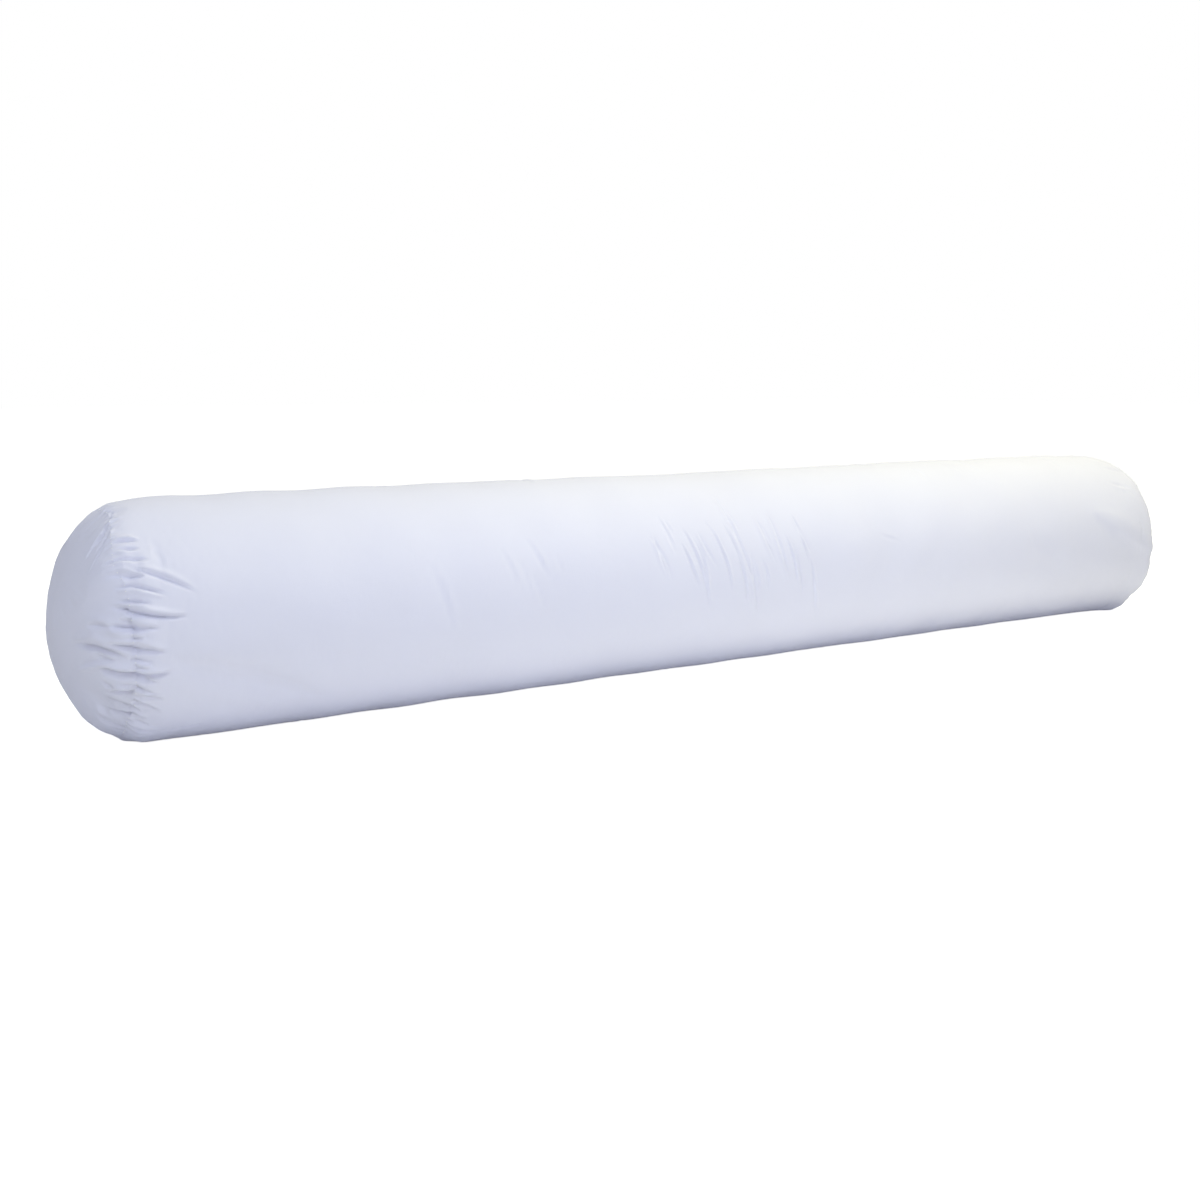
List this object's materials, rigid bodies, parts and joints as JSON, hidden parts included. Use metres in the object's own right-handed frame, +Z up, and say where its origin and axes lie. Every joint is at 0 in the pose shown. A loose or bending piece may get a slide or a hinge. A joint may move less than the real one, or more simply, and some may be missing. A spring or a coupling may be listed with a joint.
{
  "type": "stuffed bolster",
  "caption": "Long round stuffed bolster with a sewn white cloth cover, gathered end seams and softly domed ends.",
  "frame": {"origin": "on the floor under the middle of the bolster, at the centre of the bottom of its bounding box", "axes": "+X along the bolster, from its left end to its right end; +Z up; the long seam is on the +Y side"},
  "size_m": [1.5, 0.23, 0.224],
  "materials": {
    "cover_cloth": "plain-woven, slightly lustrous white cloth",
    "sewing_thread": "spun thread",
    "fibre_stuffing": "loose white fibre"
  },
  "bodies": {
    "root": {"tube_panel": "cover_cloth", "left_end_panel": "cover_cloth", "right_end_panel": "cover_cloth", "left_end_seam_thread": "sewing_thread", "right_end_seam_thread": "sewing_thread", "left_end_seam_overlock": "sewing_thread", "right_end_seam_overlock": "sewing_thread", "long_seam_thread": "sewing_thread", "long_seam_overlock": "sewing_thread", "closing_stitches": "sewing_thread", "fibre_fill": "fibre_stuffing"}
  },
  "joints": []
}
